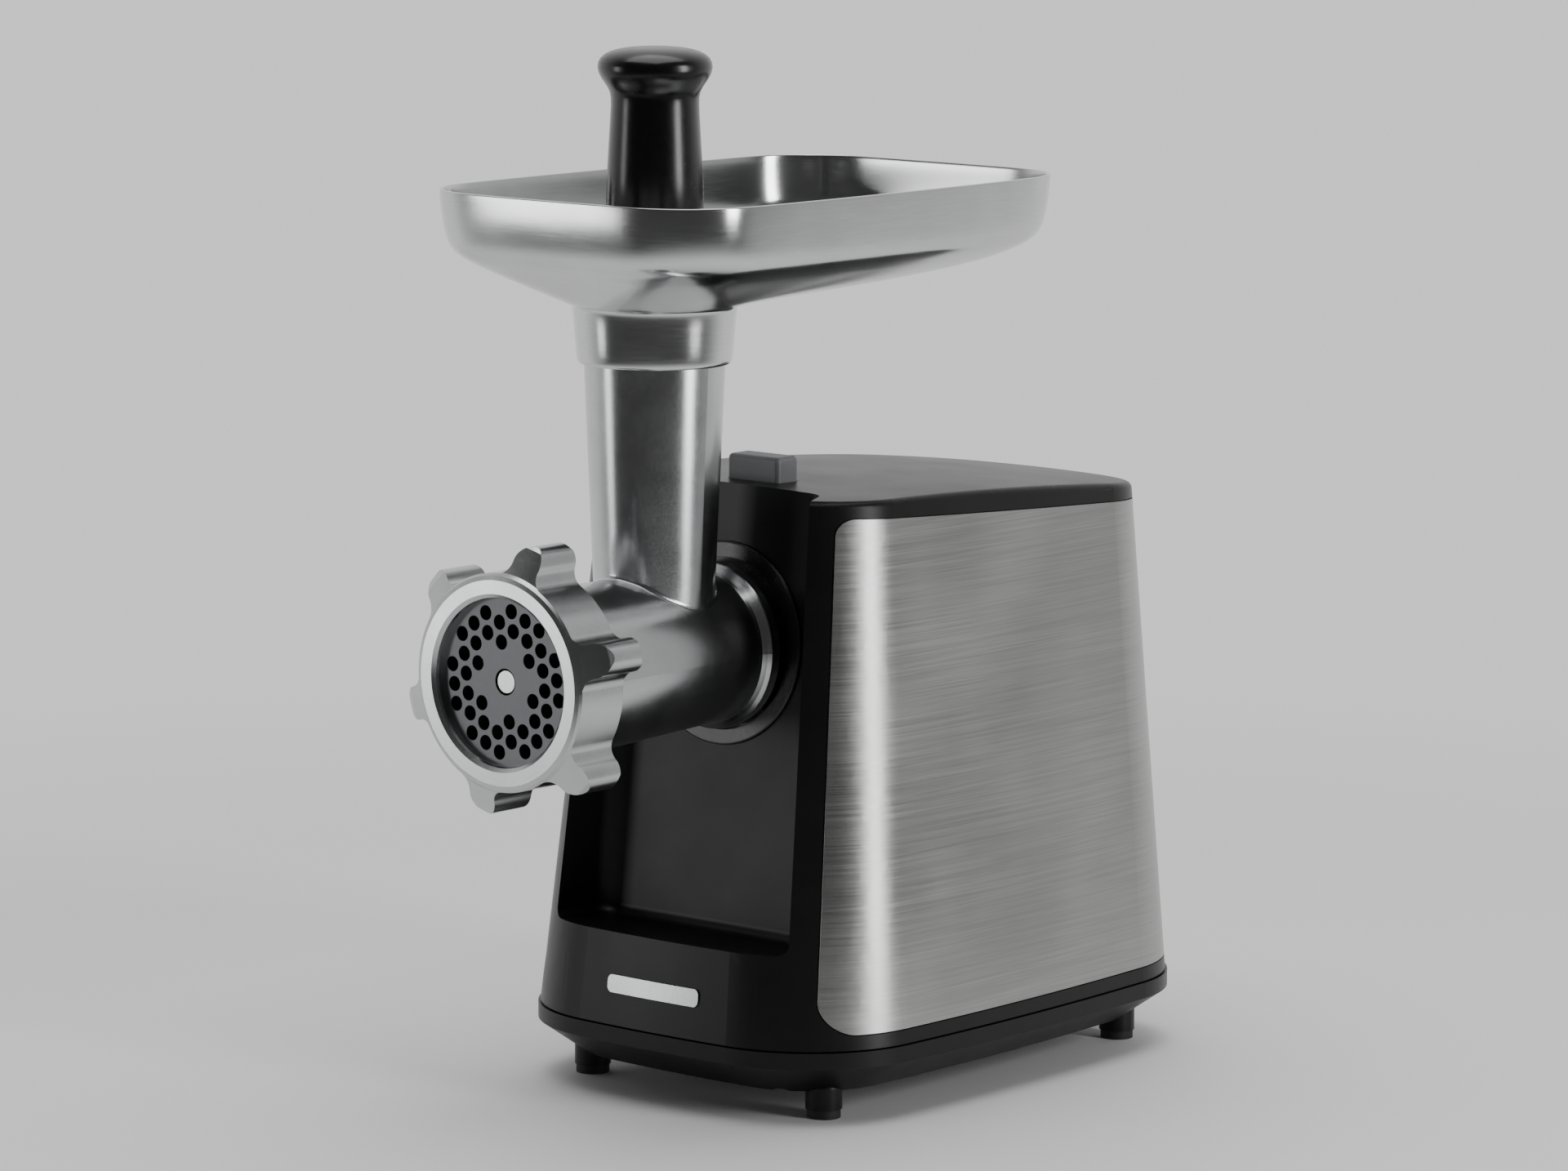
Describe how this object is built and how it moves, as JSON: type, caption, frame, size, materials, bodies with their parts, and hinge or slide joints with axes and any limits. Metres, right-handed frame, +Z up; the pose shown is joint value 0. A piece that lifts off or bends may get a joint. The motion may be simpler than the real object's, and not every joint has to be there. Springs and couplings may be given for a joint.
{
  "type": "electric meat grinder",
  "caption": "Electric meat grinder: tapered motor housing with steel side panels, cast barrel and feed tube, lobed ring nut over a holed plate, and a rectangular tray with a pusher.",
  "frame": {"origin": "middle of the bounding box's underside, on the table", "axes": "+Z up, -Y towards the outlet end with the ring nut, +X to the right seen from behind the machine"},
  "size_m": [0.1562, 0.2939, 0.355],
  "materials": {
    "housing_plastic": "satin",
    "base_plastic": "satin",
    "brushed_panel": "brushed",
    "cast_alloy": "satin",
    "tray_alloy": "polished",
    "bright_trim": "polished",
    "pusher_plastic": "gloss",
    "button_plastic": "satin",
    "switch_plastic": "gloss",
    "plate_steel": "ground",
    "machined_steel": "machined",
    "gear_nylon": "satin",
    "core_steel": "laminated",
    "copper_wire": "enamelled",
    "bearing_bronze": "sintered",
    "carbon": "dull",
    "board_laminate": "satin",
    "rubber_black": "matte",
    "screw_steel": "plated"
  },
  "bodies": {
    "root": {"housing_shell": "housing_plastic", "side_panel_left": "brushed_panel", "side_panel_right": "brushed_panel", "rear_cover": "housing_plastic", "base_tray": "base_plastic", "foot_pads": "rubber_black", "base_screws": "screw_steel", "rear_screws": "screw_steel", "front_badge": "bright_trim", "socket_ring": "housing_plastic", "button_guide": "gear_nylon", "button_spring": "machined_steel", "gear_case_front": "gear_nylon", "gear_case_rear": "gear_nylon", "gear_case_screws": "screw_steel", "gear_pins": "machined_steel", "output_bush": "bearing_bronze", "shaft_seal": "rubber_black", "motor_stator": "core_steel", "field_coils": "copper_wire", "motor_bracket_front": "cast_alloy", "motor_bracket_rear": "cast_alloy", "rotor_bearings": "bearing_bronze", "brush_holders": "bearing_bronze", "carbon_brushes": "carbon", "motor_mounts": "rubber_black", "circuit_board": "board_laminate", "switch_body": "switch_plastic", "cord_inlet": "rubber_black"},
    "button": {"release_button": "button_plastic", "lock_pin": "machined_steel"},
    "rocker": {"rocker_switch": "switch_plastic"},
    "rotor": {"rotor_shaft": "machined_steel", "rotor_core": "core_steel", "commutator": "copper_wire", "cooling_fan": "gear_nylon"},
    "first_gear": {"gear_1": "gear_nylon"},
    "second_gear": {"gear_2": "machined_steel"},
    "drive": {"output_gear": "machined_steel", "output_shaft": "machined_steel", "auger": "cast_alloy", "knife": "plate_steel", "thrust_washer": "gear_nylon"},
    "head": {"head_casting": "cast_alloy", "plate_key": "machined_steel"},
    "plate": {"hole_plate": "plate_steel"},
    "nut": {"ring_nut": "cast_alloy"},
    "tray_body": {"tray": "tray_alloy"},
    "pusher_body": {"pusher": "pusher_plastic", "pusher_foot": "pusher_plastic"}
  },
  "joints": [
    {"name": "motor_spin", "type": "hinge", "parent": "root", "child": "rotor", "pos_m": [0.00831, 0, 0.06193], "axis": [0, 1, 0], "continuous": true},
    {"name": "first_gear_spin", "type": "hinge", "parent": "root", "child": "first_gear", "pos_m": [0.00434, 0, 0.09015], "axis": [0, 1, 0], "continuous": true},
    {"name": "second_gear_spin", "type": "hinge", "parent": "root", "child": "second_gear", "pos_m": [0.01901, 0, 0.11774], "axis": [0, 1, 0], "continuous": true},
    {"name": "auger_spin", "type": "hinge", "parent": "root", "child": "drive", "pos_m": [0, 0, 0.1535], "axis": [0, 1, 0], "continuous": true},
    {"name": "button_press", "type": "slide", "parent": "root", "child": "button", "axis": [0, 0, -1], "range_m": [0, 0.004], "stiffness_N_per_m": 600, "springref_m": -0.002, "deforming": ["button_spring"]},
    {"name": "rocker_tilt", "type": "hinge", "parent": "root", "child": "rocker", "pos_m": [0, 0.13325, 0.15167], "axis": [1, 0, 0], "range_deg": [-10, 10]},
    {"name": "head_twist", "type": "hinge", "parent": "root", "child": "head", "pos_m": [0, 0, 0.1535], "axis": [0, 1, 0], "range_deg": [0, 35]},
    {"name": "plate_slide", "type": "slide", "parent": "head", "child": "plate", "axis": [0, -1, 0], "range_m": [0, 0.006]},
    {"name": "nut_turn", "type": "hinge", "parent": "plate", "child": "nut", "pos_m": [0, 0, 0.1535], "axis": [0, -1, 0], "range_deg": [0, 720]},
    {"name": "tray_lift", "type": "slide", "parent": "head", "child": "tray_body", "axis": [0, 0, 1], "range_m": [0, 0.04]},
    {"name": "pusher_lift", "type": "slide", "parent": "tray_body", "child": "pusher_body", "axis": [0, 0, 1], "range_m": [0, 0.18]}
  ],
  "couplings": [
    {"joint": "first_gear_spin", "follows": "motor_spin", "ratio": -0.1875},
    {"joint": "second_gear_spin", "follows": "motor_spin", "ratio": 0.046875},
    {"joint": "auger_spin", "follows": "motor_spin", "ratio": -0.013393},
    {"joint": "plate_slide", "follows": "nut_turn", "m_per_rad": 0.00047746}
  ]
}
